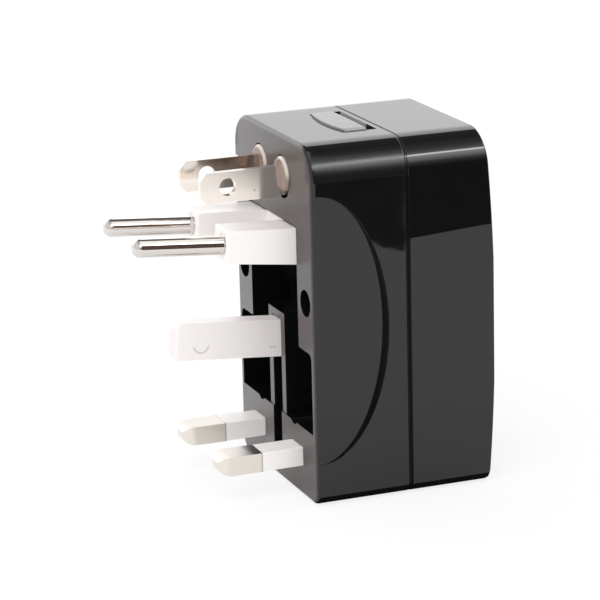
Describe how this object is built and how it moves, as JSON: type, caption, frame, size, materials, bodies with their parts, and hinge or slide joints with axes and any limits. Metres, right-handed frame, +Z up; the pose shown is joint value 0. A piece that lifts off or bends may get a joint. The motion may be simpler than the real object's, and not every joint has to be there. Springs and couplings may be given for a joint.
{
  "type": "travel plug adapter",
  "caption": "Travel plug adapter: block housing with folding round pins, turning and sliding flat blades, sleeved rectangular pins, a folding earth pin and a socket at the back.",
  "frame": {"origin": "centre of the bottom face of the housing", "axes": "+Z up, the pins point to -Y, the adapter's own socket faces +Y, +X is to the right seen from the socket's side"},
  "size_m": [0.0446, 0.0734, 0.0753],
  "materials": {
    "shell_front": "glossy black plastic",
    "shell_rear": "glossy black plastic",
    "button": "satin black plastic",
    "spring_steel": "bare spring wire",
    "white_block": "white moulded plastic",
    "white_earth": "white moulded plastic",
    "white_sleeve": "white insulating sleeve",
    "white_inner": "white moulded plastic",
    "rotor_grey": "warm grey moulded plastic",
    "steel": "plain steel",
    "eu_chrome": "polished nickel plate",
    "pin_nickel": "satin nickel plate",
    "blade_nickel": "satin nickel plate, slightly warm",
    "contact_brass": "stamped brass strip"
  },
  "bodies": {
    "housing": {"front_shell": "shell_front", "rear_shell": "shell_rear", "earth_hinge_pin": "steel", "lock_spring": "spring_steel", "eu_hinge_stub_1": "steel", "eu_contact_1": "contact_brass", "bus_bar_1": "contact_brass", "socket_contact_1": "contact_brass", "shutter_spring_1": "spring_steel", "screw_1": "steel", "eu_hinge_stub_2": "steel", "eu_contact_2": "contact_brass", "bus_bar_2": "contact_brass", "socket_contact_2": "contact_brass", "shutter_spring_2": "spring_steel", "screw_2": "steel"},
    "button": {"lock_button": "button"},
    "eu_plug": {"eu_block": "white_block", "eu_pin_1": "eu_chrome", "eu_pin_2": "eu_chrome"},
    "earth": {"earth_pin": "white_earth"},
    "uk_plug": {"uk_carriage": "white_inner", "uk_blade_1": "pin_nickel", "uk_blade_2": "pin_nickel", "uk_sleeve_1": "white_sleeve", "uk_sleeve_2": "white_sleeve", "uk_wiper_1": "contact_brass", "uk_wiper_2": "contact_brass"},
    "us_plug": {"us_carriage": "white_inner", "us_wiper_1": "contact_brass", "us_wiper_2": "contact_brass"},
    "us_blade_turn_1": {"us_blade_1": "blade_nickel", "us_rotor_1": "rotor_grey"},
    "us_blade_turn_2": {"us_blade_2": "blade_nickel", "us_rotor_2": "rotor_grey"},
    "shutter": {"shutter": "white_inner"}
  },
  "joints": [
    {"name": "eu_fold", "type": "hinge", "parent": "housing", "child": "eu_plug", "pos_m": [0, -0.01575, 0.0527], "axis": [1, 0, 0], "range_deg": [0, 94.5]},
    {"name": "earth_fold", "type": "hinge", "parent": "housing", "child": "earth", "pos_m": [0, -0.01565, 0.0305], "axis": [1, 0, 0], "range_deg": [0, 94.7]},
    {"name": "us_slide", "type": "slide", "parent": "housing", "child": "us_plug", "axis": [0, 1, 0], "range_m": [0, 0.0175]},
    {"name": "us_turn_1", "type": "hinge", "parent": "us_plug", "child": "us_blade_turn_1", "pos_m": [0.00635, 0, 0.06635], "axis": [0, 1, 0], "range_deg": [-30, 0]},
    {"name": "us_turn_2", "type": "hinge", "parent": "us_plug", "child": "us_blade_turn_2", "pos_m": [-0.00635, 0, 0.06635], "axis": [0, 1, 0], "range_deg": [0, 30]},
    {"name": "uk_slide", "type": "slide", "parent": "housing", "child": "uk_plug", "axis": [0, 1, 0], "range_m": [0, 0.0178]},
    {"name": "lock_slide", "type": "slide", "parent": "housing", "child": "button", "axis": [0, 1, 0], "range_m": [0, 0.002], "stiffness_N_per_m": 300, "springref_m": -0.0005, "deforming": ["lock_spring"]},
    {"name": "shutter_slide", "type": "slide", "parent": "housing", "child": "shutter", "axis": [0, 0, -1], "range_m": [0, 0.0094], "stiffness_N_per_m": 80, "springref_m": -0.002, "deforming": ["shutter_spring_1", "shutter_spring_2"]}
  ]
}
